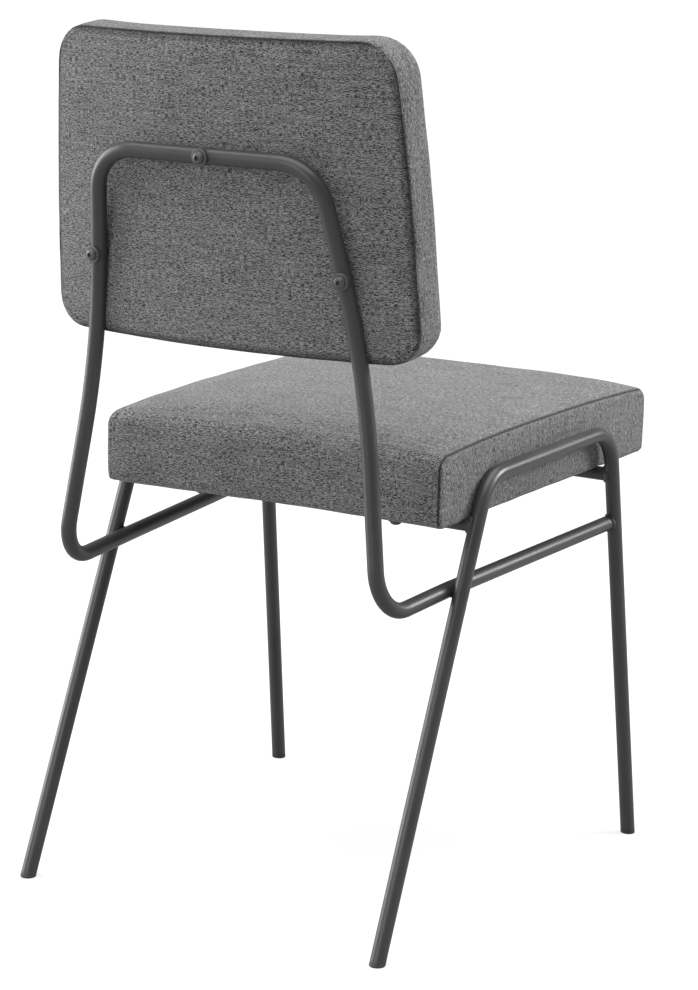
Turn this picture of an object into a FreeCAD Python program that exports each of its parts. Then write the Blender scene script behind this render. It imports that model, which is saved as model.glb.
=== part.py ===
# Dining chair: round steel tube frame, upholstered seat and backrest.
# Millimetres. +Z is up, the sitter faces -Y, X = 0 is the plane of symmetry and the feet stand on Z = 0.
import FreeCAD, Part
import Sketcher
import math
import os

os.makedirs("parts", exist_ok=True)
V = FreeCAD.Vector
doc = FreeCAD.newDocument("dining_chair")

# ---------------------------------------------------------------------------
# Driving dimensions
# ---------------------------------------------------------------------------
SIZES = [
    # frame tube
    ("tube_od", 15.0),
    ("tube_wall", 1.5),
    # side frame, measured in its own plane from the rear foot
    ("rear_foot_x", 197.2),
    ("rear_foot_y", 238.6),
    ("toe_angle", 2.385),
    ("lean_angle", 1.17),
    ("rear_bend_run", 169.4),
    ("rear_bend_rise", 426.5),
    ("front_bend_run", 413.5),
    ("front_bend_rise", 441.3),
    ("foot_base", 494.9),
    ("side_bend", 40.0),
    # feet
    ("foot_rise", 5.0),
    ("plug_depth", 16.0),
    ("sole_edge", 1.0),
    # back frame route
    ("rail_front_rise", 343.7),
    ("rail_inset", 4.0),
    ("rail_rear_rise", 323.7),
    ("loop_x", 174.3),
    ("loop_y", 225.3),
    ("loop_rise", 314.2),
    ("waist_x", 144.0),
    ("waist_y", 214.4),
    ("waist_rise", 535.2),
    ("bar_x", 115.6),
    ("bar_y", 264.9),
    ("bar_rise", 716.2),
    ("loop_bend", 40.0),
    ("waist_bend", 565.0),
    ("bar_bend", 44.0),
    # cross tubes
    ("cross_od", 14.0),
    ("rear_cross_y", 86.7),
    ("front_cross_y", -183.4),
    ("seat_bolt_x", 110.0),
    # seat cushion, in its own tilted frame
    ("seat_rise", 393.6),
    ("seat_tilt", 2.25),
    ("seat_thick", 71.0),
    ("seat_rear_y", 141.5),
    ("seat_front_y", -284.0),
    ("seat_rear_half", 185.5),
    ("seat_front_half", 194.0),
    ("seat_seam_round", 5.0),
    ("seat_foam_round", 5.5),
    ("seat_edge", 24.0),
    ("seat_low_edge", 7.0),
    ("seat_board_thick", 12.0),
    # backrest cushion, in its own tilted frame
    ("pad_y", 244.8),
    ("pad_rise", 666.0),
    ("pad_tilt", 7.46),
    ("pad_curve", 900.0),
    ("pad_thick", 48.5),
    ("pad_low", -127.5),
    ("pad_high", 157.5),
    ("pad_low_half", 196.0),
    ("pad_mid_half", 189.5),
    ("pad_high_half", 176.0),
    ("pad_low_corner", 30.0),
    ("pad_high_corner", 34.0),
    ("pad_back_edge", 11.0),
    ("pad_front_edge", 16.0),
    ("pad_board_thick", 10.0),
    ("wadding_thick", 5.0),
    ("side_bolt_rise", 617.0),
    # cover and fasteners
    ("fabric_thick", 1.2),
    ("hem_width", 34.0),
    ("bolt_od", 6.0),
    ("bolt_hole", 6.6),
    ("head_od", 11.0),
    ("head_height", 3.3),
    ("socket_af", 4.0),
    ("washer_od", 16.0),
    ("weld_leg", 1.6),
    ("touch_gap", 0.3),
]
sheet = doc.addObject("Spreadsheet::Sheet", "Sizes")
for row, (alias, value) in enumerate(SIZES, start=1):
    sheet.set("A%d" % row, alias)
    sheet.set("B%d" % row, str(value))
    sheet.setAlias("B%d" % row, alias)
doc.recompute()


def size(alias):
    """Current value of one driving dimension."""
    return float(getattr(sheet, alias))


OD = size("tube_od")
WALL = size("tube_wall")
TUBE_R = OD / 2
nodes = []


def keep(obj, label):
    """Name a sub-part; the label is its node name."""
    obj.Label = label
    nodes.append(obj)
    return obj


def feature(label, shape, placement=None):
    """A sub-part whose shape comes from Part's own functions."""
    obj = doc.addObject("Part::Feature", label)
    obj.Shape = shape
    if placement is not None:
        obj.Placement = placement
    return keep(obj, label)


def mirror_x(shape):
    return shape.mirror(V(0, 0, 0), V(1, 0, 0))


def frame_placement(origin, x_axis, y_axis):
    """Placement of a right-handed frame from its origin and first two axes."""
    z_axis = x_axis.cross(y_axis)
    matrix = FreeCAD.Matrix(
        x_axis.x, y_axis.x, z_axis.x, origin.x,
        x_axis.y, y_axis.y, z_axis.y, origin.y,
        x_axis.z, y_axis.z, z_axis.z, origin.z,
        0, 0, 0, 1)
    return FreeCAD.Placement(matrix)


def origin_plane(body, role):
    for item in body.Origin.OriginFeatures:
        if item.Role == role:
            return item
    raise ValueError(role)


def new_sketch(body, name, role):
    sketch = body.newObject("Sketcher::SketchObject", name)
    sketch.AttachmentSupport = (origin_plane(body, role), [""])
    sketch.MapMode = "FlatFace"
    return sketch


def bend_points(before, corner, after, radius):
    """Start, middle and end of the arc that rounds a corner."""
    a = (before - corner).normalize()
    b = (after - corner).normalize()
    half = a.getAngle(b) / 2
    reach = radius / math.tan(half)
    bisector = (a + b).normalize()
    middle = corner + bisector * (radius / math.sin(half) - radius)
    return corner + a * reach, middle, corner + b * reach


def rounded_edges(points, radii):
    """Edges of a route of straight runs joined by tangent arcs."""
    edges = []
    start = points[0]
    for i in range(1, len(points) - 1):
        first, middle, last = bend_points(points[i - 1], points[i], points[i + 1], radii[i - 1])
        edges.append(Part.LineSegment(start, first).toShape())
        edges.append(Part.Arc(first, middle, last).toShape())
        start = last
    edges.append(Part.LineSegment(start, points[-1]).toShape())
    return edges


def sweep(points, radii, radius):
    """Solid round bar of the given radius along a rounded route."""
    wire = Part.Wire(rounded_edges(points, radii))
    circle = Part.Circle(points[0], points[1] - points[0], radius)
    return wire.makePipeShell([Part.Wire(circle.toShape())], True, False)


def rod(start, end, radius):
    axis = end - start
    return Part.makeCylinder(radius, axis.Length, start, axis)


# ---------------------------------------------------------------------------
# Side frames: each one tube, bent twice, from the rear foot over the top rail to the front foot
# ---------------------------------------------------------------------------
def side_frame_axes(side):
    """Rear foot, floor direction and in-plane up direction of one side frame (side is +1 left, -1 right)."""
    toe = math.radians(size("toe_angle"))
    lean = math.radians(size("lean_angle"))
    foot = V(side * size("rear_foot_x"), size("rear_foot_y"), 0)
    along = V(side * math.sin(toe), -math.cos(toe), 0)
    inward = V(-side * math.cos(toe), -math.sin(toe), 0)
    upward = V(0, 0, 1) * math.cos(lean) + inward * math.sin(lean)
    return foot, along, upward


def side_point(side, run, rise):
    foot, along, upward = side_frame_axes(side)
    return foot + along * run + upward * rise


SIDE_CORNERS = [
    (0.0, 0.0),
    (size("rear_bend_run"), size("rear_bend_rise")),
    (size("front_bend_run"), size("front_bend_rise")),
    (size("foot_base"), 0.0),
]
UNDER_FLOOR = 25.0


def side_route(side):
    """World points of a side frame's centre line, run on a little below the floor at both feet."""
    corners = [side_point(side, run, rise) for run, rise in SIDE_CORNERS]
    rear = (corners[0] - corners[1]).normalize()
    front = (corners[3] - corners[2]).normalize()
    return [corners[0] + rear * UNDER_FLOOR, corners[1], corners[2], corners[3] + front * UNDER_FLOOR]


def side_envelope(side, radius=TUBE_R):
    bend = size("side_bend")
    return sweep(side_route(side), [bend, bend], radius)


def side_tube_body(side, name):
    """The bent tube as a PartDesign pipe: its own XZ plane is square to the rear leg."""
    route = side_route(side)
    y_axis = (route[1] - route[0]).normalize()
    foot, along, upward = side_frame_axes(side)
    z_axis = along.cross(upward).normalize()
    x_axis = y_axis.cross(z_axis)
    placement = frame_placement(route[0], x_axis, y_axis)
    local = [placement.inverse().multVec(point) for point in route]
    local = [V(point.x, point.y, 0) for point in local]
    body = doc.addObject("PartDesign::Body", name)
    path = new_sketch(body, name + "_path", "XY_Plane")
    bends = []
    start = local[0]
    for i in (1, 2):
        first, middle, last = bend_points(local[i - 1], local[i], local[i + 1], size("side_bend"))
        path.addGeometry(Part.LineSegment(start, first), False)
        bends.append(path.addGeometry(Part.Arc(first, middle, last), False))
        start = last
    path.addGeometry(Part.LineSegment(start, local[3]), False)
    for i, index in enumerate(bends):
        path.addConstraint(Sketcher.Constraint("Radius", index, size("side_bend")))
        path.setExpression("Constraints[%d]" % i, "Sizes.side_bend")
    section = new_sketch(body, name + "_section", "XZ_Plane")
    for i, (radius, formula) in enumerate((
            (TUBE_R, "Sizes.tube_od / 2"),
            (TUBE_R - WALL, "Sizes.tube_od / 2 - Sizes.tube_wall"))):
        section.addGeometry(Part.Circle(V(0, 0, 0), V(0, 0, 1), radius), False)
        section.addConstraint(Sketcher.Constraint("Coincident", i, 3, -1, 1))
        section.addConstraint(Sketcher.Constraint("Radius", i, radius))
        section.setExpression("Constraints[%d]" % (2 * i + 1), formula)
    pipe = body.newObject("PartDesign::AdditivePipe", name + "_pipe")
    pipe.Profile = section
    pipe.Spine = (path, ["Edge%d" % (i + 1) for i in range(5)])
    body.Tip = pipe
    body.Placement = placement
    return body


def floor_box(name, top_formula):
    box = doc.addObject("Part::Box", name)
    box.Length = 700
    box.Width = 700
    box.setExpression("Height", "60 + " + top_formula)
    box.Placement = FreeCAD.Placement(V(-350, -350, -60), FreeCAD.Rotation())
    return box


SIDES = (("left", 1), ("right", -1))
FEET = (("rear", 0, 1), ("front", 3, 2))
envelopes = {}
for name, side in SIDES:
    tube = side_tube_body(side, name + "_side_tube")
    cut = doc.addObject("Part::Cut", name + "_side_frame")
    cut.Base = tube
    cut.Tool = floor_box(name + "_tube_trim", "Sizes.foot_rise")
    keep(cut, name + "_side_frame")
    envelopes[side] = side_envelope(side)

# Foot caps: a flat-bottomed plastic glide with a plug pressed into the open tube end
above_floor = Part.makeBox(900, 900, 600, V(-450, -450, 0))
for name, side in SIDES:
    corners = [side_point(side, run, rise) for run, rise in SIDE_CORNERS]
    for end, foot_index, bend_index in FEET:
        foot = corners[foot_index]
        up = (corners[bend_index] - foot).normalize()
        glide = rod(foot - up * 12, foot + up * 30, TUBE_R)
        rim = Part.makeBox(60, 60, size("foot_rise"), V(foot.x - 30, foot.y - 30, 0))
        glide = glide.common(rim)
        plug = rod(foot + up * 0.5, foot + up * size("plug_depth"), TUBE_R - WALL)
        cap = glide.fuse(plug.common(above_floor)).removeSplitter()
        sole = [edge for edge in cap.Edges if edge.BoundBox.ZMax < 0.05]
        cap = cap.makeFillet(size("sole_edge"), sole)
        feature("%s_%s_foot_cap" % (name, end), cap)

# ---------------------------------------------------------------------------
# Back frame: one tube, from the left front leg back along the left lower rail, round the loop, up the
# left upright, across the top bar and down the other side
# ---------------------------------------------------------------------------
def point_on_leg(side, foot_index, bend_index, rise):
    foot = side_point(side, *SIDE_CORNERS[foot_index])
    bend = side_point(side, *SIDE_CORNERS[bend_index])
    return foot + (bend - foot) * (rise / bend.z)


front_end = point_on_leg(1, 3, 2, size("rail_front_rise")) + V(-size("rail_inset"), 0, 0)
loop = V(size("loop_x"), size("loop_y"), size("loop_rise"))
waist = V(size("waist_x"), size("waist_y"), size("waist_rise"))
bar = V(size("bar_x"), size("bar_y"), size("bar_rise"))

# The rail passes the inner side of the rear leg and just touches it
leg_at_rail = point_on_leg(1, 0, 1, size("rail_rear_rise"))
leg_line = side_point(1, *SIDE_CORNERS[1]) - side_point(1, *SIDE_CORNERS[0])


def line_gap(point_a, direction_a, point_b, direction_b):
    """Shortest distance between two lines."""
    normal = direction_a.cross(direction_b).normalize()
    return abs((point_b - point_a).dot(normal))


crossing = V(leg_at_rail.x - OD, leg_at_rail.y, size("rail_rear_rise"))
for step in range(30):
    gap = line_gap(leg_at_rail, leg_line, crossing, loop - crossing)
    crossing.x += gap - (OD + 0.05)


def mirrored(point):
    return V(-point.x, point.y, point.z)


half_route = [front_end, crossing, loop, waist, bar]
route = half_route + [mirrored(point) for point in reversed(half_route)]
half_bends = [400.0, size("loop_bend"), size("waist_bend"), size("bar_bend")]
bends = half_bends + list(reversed(half_bends))
back_outer = sweep(route, bends, TUBE_R)
back_inner = sweep(route, bends, TUBE_R - WALL)

# ---------------------------------------------------------------------------
# Backrest cushion frame and its three bolts
# ---------------------------------------------------------------------------
pad_place = FreeCAD.Placement(
    V(0, size("pad_y"), size("pad_rise")),
    FreeCAD.Rotation(V(1, 0, 0), -size("pad_tilt")))
PAD_R = size("pad_curve")


def pad_normal(x_at):
    """Outward (rearward) direction of the backrest's rear face at a sideways position."""
    angle = math.asin(x_at / PAD_R)
    return pad_place.Rotation.multVec(V(math.sin(angle), math.cos(angle), 0))


def distance_to_pad(point, normal):
    """How far the rear face lies below a point, along the face's normal."""
    local = pad_place.inverse().multVec(point)
    centre = V(0, -PAD_R, local.z)
    return (local - centre).Length - PAD_R


upright = bar - waist
side_bolt = waist + upright * ((size("side_bolt_rise") - waist.z) / upright.z)
BOLT_POINTS = [
    V(0, bar.y, bar.z),
    side_bolt,
    mirrored(side_bolt),
]
HEAD_SEAT = TUBE_R + 2.6


def bolt_solid(seat, tip, normal, point):
    """Button-head socket screw: seat is where the head rests, tip is the end of the shank."""
    height = size("head_height")
    radius = size("head_od") / 2
    profile = [V(0, 0, tip), V(size("bolt_od") / 2, 0, tip), V(size("bolt_od") / 2, 0, seat), V(radius, 0, seat),
               V(radius, 0, seat + 0.9)]
    lines = [Part.LineSegment(a, b).toShape() for a, b in zip(profile[:-1], profile[1:])]
    crown = Part.Arc(V(radius, 0, seat + 0.9), V(radius * 0.84, 0, seat + height * 0.72),
                     V(radius * 0.52, 0, seat + height)).toShape()
    close = [Part.LineSegment(V(radius * 0.52, 0, seat + height), V(0, 0, seat + height)).toShape(),
             Part.LineSegment(V(0, 0, seat + height), V(0, 0, tip)).toShape()]
    solid = Part.Face(Part.Wire(lines + [crown] + close)).revolve(V(0, 0, 0), V(0, 0, 1), 360)
    corner = size("socket_af") / math.sqrt(3)
    hexagon = [V(corner * math.cos(math.radians(60 * i)), corner * math.sin(math.radians(60 * i)), 0)
               for i in range(7)]
    socket = Part.Face(Part.makePolygon(hexagon)).extrude(V(0, 0, 4))
    socket.translate(V(0, 0, seat + height - 2.0))
    solid = solid.cut(socket)
    solid.Placement = FreeCAD.Placement(point, FreeCAD.Rotation(V(0, 0, 1), normal))
    return solid


def along(point, normal, near, far, radius):
    """Cylinder on a bolt's axis between two distances from the tube's centre."""
    return Part.makeCylinder(radius, far - near, point + normal * near, normal)


def compound_or_one(solids):
    return Part.makeCompound(solids) if len(solids) > 1 else solids[0]


def tee_nut(point, normal, face, board_thick):
    """Tee nut pulled into a board from its far side; face is the board face it is pulled against."""
    flange = along(point, normal, face - 1.2, face, 9.0)
    barrel = along(point, normal, face, face + board_thick - 2.0, 4.0)
    bore = along(point, normal, face - 2.0, face + board_thick, size("bolt_od") / 2)
    return flange.fuse(barrel).cut(bore)


back_bolts = []
back_washers = []
back_spacers = []
back_tee_nuts = []
back_shanks = []
hole_r = size("bolt_hole") / 2
BOARD_DEPTH = size("fabric_thick") + size("wadding_thick")
for point in BOLT_POINTS:
    normal = pad_normal(point.x)
    surface = -distance_to_pad(point, normal)
    board_back = surface - BOARD_DEPTH
    board_front = board_back - size("pad_board_thick")
    shank = along(point, normal, board_front + 1.0, 40, hole_r)
    back_shanks.append(shank)
    back_bolts.append(bolt_solid(HEAD_SEAT, board_front + 1.5, normal, point))
    washer = along(point, normal, 3.5, HEAD_SEAT, size("washer_od") / 2)
    washer = washer.makeFillet(0.9, [edge for edge in washer.Edges
                                     if isinstance(edge.Curve, Part.Circle)
                                     and (edge.Curve.Center - point).dot(normal) > 5])
    back_washers.append(washer.cut(back_outer).cut(shank))
    spacer = along(point, normal, surface + 0.02, -2.0, 6.5)
    back_spacers.append(spacer.cut(back_outer).cut(shank))
    back_tee_nuts.append(tee_nut(point, normal, board_front, size("pad_board_thick")))


def main_solid(shape):
    """The largest solid of a cut result."""
    return max(shape.Solids, key=lambda solid: solid.Volume)


back_tube = back_outer.cut(back_inner)
for point, shank in zip(BOLT_POINTS, back_shanks):
    back_tube = back_tube.cut(shank)
for side in (1, -1):
    back_tube = back_tube.cut(envelopes[side])
back_tube = main_solid(back_tube)
feature("back_frame", back_tube)
feature("backrest_bolts", compound_or_one(back_bolts))
feature("backrest_bolt_washers", compound_or_one([main_solid(item) for item in back_washers]))
feature("backrest_spacers", compound_or_one([main_solid(item) for item in back_spacers]))
feature("backrest_tee_nuts", compound_or_one(back_tee_nuts))


# ---------------------------------------------------------------------------
# Backrest cushion: bowed slab, wider at the bottom, with rounded corners and edges
# ---------------------------------------------------------------------------
def pad_slab(inset, back, front, back_edge, front_edge):
    """Bowed slab inset from the outline, between two depths behind the rear face, in the pad's frame."""
    low = size("pad_low") + inset
    high = size("pad_high") - inset
    mid = (low + high) / 2
    low_half = size("pad_low_half") - inset
    mid_half = size("pad_mid_half") - inset
    high_half = size("pad_high_half") - inset
    corners = [V(-low_half, 0, low), V(low_half, 0, low), V(high_half, 0, high), V(-high_half, 0, high)]
    edges = [
        Part.LineSegment(corners[0], corners[1]).toShape(),
        Part.Arc(corners[1], V(mid_half, 0, mid), corners[2]).toShape(),
        Part.LineSegment(corners[2], corners[3]).toShape(),
        Part.Arc(corners[3], V(-mid_half, 0, mid), corners[0]).toShape(),
    ]
    block = Part.Face(Part.Wire(edges)).extrude(V(0, 160, 0))
    block.translate(V(0, -110, 0))
    for z_at, radius in ((low, size("pad_low_corner")), (high, size("pad_high_corner"))):
        uprights = [edge for edge in block.Edges
                    if isinstance(edge.Curve, (Part.Line, Part.LineSegment))
                    and abs(edge.Vertexes[0].Z - z_at) < 0.01 and abs(edge.Vertexes[1].Z - z_at) < 0.01
                    and abs(edge.Vertexes[0].X - edge.Vertexes[1].X) < 0.01]
        block = block.makeFillet(radius - inset, uprights)
    outer = Part.makeCylinder(PAD_R - back, 600, V(0, -PAD_R, -300))
    inner = Part.makeCylinder(PAD_R - front, 600, V(0, -PAD_R, -300))
    slab = main_solid(block.common(outer.cut(inner)))
    for radius, depth in ((back_edge, back), (front_edge, front)):
        if radius <= 0:
            continue
        ring = []
        for edge in slab.Edges:
            middle = edge.valueAt((edge.FirstParameter + edge.LastParameter) / 2)
            ends = [vertex.Point for vertex in edge.Vertexes] + [middle]
            reach = [abs(math.hypot(p.x, p.y + PAD_R) - (PAD_R - depth)) for p in ends]
            if max(reach) < 0.05:
                ring.append(edge)
        slab = slab.makeFillet(radius, ring)
    return slab


FABRIC = size("fabric_thick")
pad_outer = pad_slab(0, 0, size("pad_thick"), size("pad_back_edge"), size("pad_front_edge"))
pad_inner = pad_slab(FABRIC, FABRIC, size("pad_thick") - FABRIC,
                     size("pad_back_edge") - FABRIC, size("pad_front_edge") - FABRIC)
pad_board = pad_slab(12.0, BOARD_DEPTH, BOARD_DEPTH + size("pad_board_thick"), 0, 0)
pad_wadding = pad_slab(12.0, FABRIC, BOARD_DEPTH, 0, 0).common(pad_inner)

# The uprights bed into the cushion's lower edge: everything there stands clear of the tube
to_pad = pad_place.inverse().toMatrix()


def in_pad_frame(shape):
    moved = shape.copy()
    moved.transformShape(to_pad)
    return moved


tube_clear = in_pad_frame(sweep(route, bends, TUBE_R + size("touch_gap")))
tube_clear_deep = in_pad_frame(sweep(route, bends, TUBE_R + size("touch_gap") + FABRIC))
shanks = [in_pad_frame(item) for item in back_shanks]
nuts = [in_pad_frame(item) for item in back_tee_nuts]


def minus(shape, tools):
    for tool in tools:
        shape = shape.cut(tool)
    return shape


pad_inner_clear = minus(pad_inner, [tube_clear_deep])
pad_cover = minus(pad_outer, [tube_clear, pad_inner_clear] + shanks)
pad_wadding = minus(pad_wadding, [tube_clear_deep] + shanks)
pad_board = minus(pad_board, shanks + nuts)
pad_foam = minus(pad_inner_clear, [pad_slab(12.0, FABRIC - 1.0, BOARD_DEPTH + size("pad_board_thick"), 0, 0)] + nuts)
feature("backrest_board", main_solid(pad_board), pad_place)
feature("backrest_wadding", main_solid(pad_wadding), pad_place)
feature("backrest_foam", main_solid(pad_foam), pad_place)
feature("backrest_cover", main_solid(pad_cover), pad_place)

# ---------------------------------------------------------------------------
# Seat cushion: its own frame lies in the underside, tilted up towards the front
# ---------------------------------------------------------------------------
seat_place = FreeCAD.Placement(V(0, 0, size("seat_rise")), FreeCAD.Rotation(V(1, 0, 0), -size("seat_tilt")))


def seat_slab(inset, low, high, corner):
    """Tapered slab inset from the cushion outline, between two heights, in the seat's frame."""
    rear = size("seat_rear_y") - inset
    front = size("seat_front_y") + inset
    rear_half = size("seat_rear_half") - inset
    front_half = size("seat_front_half") - inset
    outline = [V(-rear_half, rear, low), V(rear_half, rear, low), V(front_half, front, low), V(-front_half, front, low)]
    block = Part.Face(Part.makePolygon(outline + [outline[0]])).extrude(V(0, 0, high - low))
    if corner > 0:
        block = block.makeFillet(corner, [edge for edge in block.Edges
                                          if abs(edge.Vertexes[0].Z - edge.Vertexes[1].Z) > 0.3])
    return block


def seat_cushion(inset, low, high, seam_round):
    """Cushion form: rolled over at the front and rear, with a tighter round along the side seams."""
    block = seat_slab(inset, low, high, 0)
    for z_at, radius in ((high, size("seat_edge")), (low, size("seat_low_edge"))):
        rolled = [edge for edge in block.Edges
                  if all(abs(v.Z - z_at) < 0.01 for v in edge.Vertexes)
                  and abs(edge.Vertexes[0].Y - edge.Vertexes[1].Y) < 0.01]
        block = block.makeFillet(radius - inset, rolled)
    for side in (1, -1):
        panel = max(block.Faces, key=lambda face: side * face.CenterOfMass.x)
        block = block.makeFillet(seam_round, panel.Edges)
    return block


SEAT_T = size("seat_thick")
BOARD_LOW = 1.0
BOARD_HIGH = BOARD_LOW + size("seat_board_thick")
seat_outer = seat_cushion(0, 0, SEAT_T, size("seat_seam_round"))
seat_inner = seat_cushion(FABRIC, BOARD_LOW, SEAT_T - FABRIC, size("seat_foam_round"))
seat_board = seat_slab(9.0, BOARD_LOW, BOARD_HIGH, 8.0)
hem_window = seat_slab(size("hem_width"), -5.0, BOARD_LOW + 1.0, 6.0)
seat_dust = seat_slab(size("hem_width") + 0.5, 0.3, BOARD_LOW, 6.0)

# Seat bolts: up through the cross tubes into tee nuts in the board
CROSS_R = size("cross_od") / 2
up = V(0, 0, 1)
down = V(0, 0, -1)
seat_points = [V(side * size("seat_bolt_x"), y_at, -CROSS_R)
               for y_at in (size("rear_cross_y"), size("front_cross_y")) for side in (1, -1)]
seat_bolts = []
seat_washers = []
seat_nuts = []
seat_holes = []
SEAT_HEAD = CROSS_R + 1.2
for point in seat_points:
    far = -(CROSS_R + BOARD_HIGH)
    seat_holes.append(along(point, down, far + 1.0, 30, hole_r))
    seat_bolts.append(bolt_solid(SEAT_HEAD, far + 1.5, down, point))
    washer = along(point, down, CROSS_R, SEAT_HEAD, 7.0)
    seat_washers.append(washer.cut(seat_holes[-1]))
    seat_nuts.append(tee_nut(point, down, far, size("seat_board_thick")))

seat_cover = minus(seat_outer, [seat_inner, hem_window])
seat_foam = minus(seat_inner, [seat_slab(9.0, -2.0, BOARD_HIGH, 8.0)] + seat_nuts)
seat_board = minus(seat_board, seat_holes + seat_nuts)
seat_dust = minus(seat_dust, seat_holes)
feature("seat_board", main_solid(seat_board), seat_place)
feature("seat_foam", main_solid(seat_foam), seat_place)
feature("seat_cover", main_solid(seat_cover), seat_place)
feature("seat_dust_cover", main_solid(seat_dust), seat_place)
feature("seat_tee_nuts", compound_or_one(seat_nuts), seat_place)
feature("seat_bolts", compound_or_one(seat_bolts), seat_place)
feature("seat_bolt_washers", compound_or_one(seat_washers), seat_place)

# ---------------------------------------------------------------------------
# Cross tubes: straight tubes under the seat, coped and welded between the legs
# ---------------------------------------------------------------------------
cross_lines = {}
for name, y_at in (("rear", size("rear_cross_y")), ("front", size("front_cross_y"))):
    reach = 260
    blank = doc.addObject("Part::Cylinder", name + "_cross_blank")
    blank.setExpression("Radius", "Sizes.cross_od / 2")
    blank.Height = 2 * reach
    bore = doc.addObject("Part::Cylinder", name + "_cross_bore")
    bore.setExpression("Radius", "Sizes.cross_od / 2 - Sizes.tube_wall")
    bore.Height = 2 * reach
    centre = seat_place.multVec(V(0, y_at, -CROSS_R))
    placement = FreeCAD.Placement(centre - V(reach, 0, 0), FreeCAD.Rotation(V(0, 0, 1), V(1, 0, 0)))
    blank.Placement = placement
    bore.Placement = placement
    doc.recompute()
    shape = blank.Shape.cut(bore.Shape)
    for side in (1, -1):
        shape = shape.cut(envelopes[side])
    for hole in seat_holes:
        world_hole = hole.copy()
        world_hole.transformShape(seat_place.toMatrix())
        shape = shape.cut(world_hole)
    middle = min(shape.Solids, key=lambda solid: abs(solid.CenterOfMass.x))
    feature(name + "_cross_tube", middle)
    cross_lines[name] = centre

# ---------------------------------------------------------------------------
# Weld beads, where the tubes meet
# ---------------------------------------------------------------------------
bead = size("weld_leg")
rail_welds = []
cross_welds = []
for side in (1, -1):
    fat_frame = side_envelope(side, TUBE_R + bead)
    near_front = V(side * front_end.x, front_end.y, front_end.z)
    near_cross = V(side * crossing.x, crossing.y, crossing.z)
    toward_rear = (near_cross - near_front).normalize()
    fat_rail = rod(near_front - toward_rear * 0.1, near_front + toward_rear * 30, TUBE_R + bead)
    ring = minus(fat_frame.common(fat_rail), [envelopes[side], back_outer])
    rail_welds.append(main_solid(ring))
    tight_frame = side_envelope(side, TUBE_R + bead * 0.8)
    tight_rail = rod(near_cross - toward_rear * 25, near_cross + toward_rear * 25, TUBE_R + bead * 0.8)
    lens = minus(tight_frame.common(tight_rail), [envelopes[side], back_outer])
    rail_welds.append(main_solid(lens))
    for name, centre in cross_lines.items():
        fat_cross = Part.makeCylinder(CROSS_R + bead, 260, centre, V(side, 0, 0))
        thin_cross = Part.makeCylinder(CROSS_R, 260, centre, V(side, 0, 0))
        joint = main_solid(envelopes[side].common(thin_cross)).CenterOfMass
        inboard = Part.makeCylinder(60, abs(joint.x) - 1.0, centre, V(side, 0, 0))
        ring = minus(fat_frame.common(fat_cross).common(inboard), [envelopes[side], thin_cross])
        seat_clear = seat_outer.copy()
        seat_clear.transformShape(seat_place.toMatrix())
        ring = ring.cut(seat_clear)
        cross_welds.append(main_solid(ring))
feature("rail_welds", compound_or_one(rail_welds))
feature("cross_tube_welds", compound_or_one(cross_welds))

# ---------------------------------------------------------------------------
# Check and write
# ---------------------------------------------------------------------------
doc.recompute()
for obj in doc.Objects:
    for flag in ("Invalid", "Error"):
        if flag in obj.State:
            raise RuntimeError("%s is %s" % (obj.Name, flag))
total = FreeCAD.BoundBox()
for obj in nodes:
    shape = obj.Shape
    if shape.isNull() or not shape.isValid() or not shape.Solids:
        raise RuntimeError("%s has no valid solid" % obj.Label)
    total.add(shape.BoundBox)
for obj in nodes:
    obj.Shape.exportStep(os.path.join("parts", obj.Label + ".step"))
    box = obj.Shape.BoundBox
    print("%-24s solids %2d volume %10.1f  x %.1f..%.1f  y %.1f..%.1f  z %.1f..%.1f" % (
        obj.Label, len(obj.Shape.Solids), obj.Shape.Volume,
        box.XMin, box.XMax, box.YMin, box.YMax, box.ZMin, box.ZMax))
print("whole: x %.1f..%.1f  y %.1f..%.1f  z %.1f..%.1f" % (
    total.XMin, total.XMax, total.YMin, total.YMax, total.ZMin, total.ZMax))
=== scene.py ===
# %% [markdown]
# # A dining chair: the looks around a finished frame
# The metal frame, screws and hidden boards are already solid parts, made to size in CAD.
# This lesson loads them as a fixed frame and gives them their finishes.
# Then it makes the soft parts: a seat cushion, a backrest cushion and the dust cloth
# under the seat. Everything is in metres, the chair's front faces -Y, and the floor is z = 0.

# %% Load the fixed frame
import math

import bmesh
import bpy
from mathutils import Matrix, Vector, noise
from mathutils.bvhtree import BVHTree
from mathutils.kdtree import KDTree


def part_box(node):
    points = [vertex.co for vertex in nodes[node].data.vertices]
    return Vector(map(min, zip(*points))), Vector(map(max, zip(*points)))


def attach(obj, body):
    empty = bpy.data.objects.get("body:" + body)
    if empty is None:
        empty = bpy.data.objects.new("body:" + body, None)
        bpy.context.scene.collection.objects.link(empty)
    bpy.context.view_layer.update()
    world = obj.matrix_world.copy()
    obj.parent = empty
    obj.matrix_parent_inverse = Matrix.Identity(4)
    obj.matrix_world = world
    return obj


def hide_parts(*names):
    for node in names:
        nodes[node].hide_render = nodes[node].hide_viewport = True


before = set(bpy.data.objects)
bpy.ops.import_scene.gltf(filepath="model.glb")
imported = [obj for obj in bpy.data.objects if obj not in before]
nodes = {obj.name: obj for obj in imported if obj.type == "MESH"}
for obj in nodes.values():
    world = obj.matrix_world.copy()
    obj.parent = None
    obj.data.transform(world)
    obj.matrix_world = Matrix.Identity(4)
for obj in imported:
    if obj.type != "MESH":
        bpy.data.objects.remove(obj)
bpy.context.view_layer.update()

# %% [markdown]
# ## The camera
# The chair is seen from behind and a little above, with a long lens, so that its lines
# hardly converge. The camera's axes are given as three directions: its right, its up
# and its back. A camera looks along the opposite of its back direction.

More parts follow.
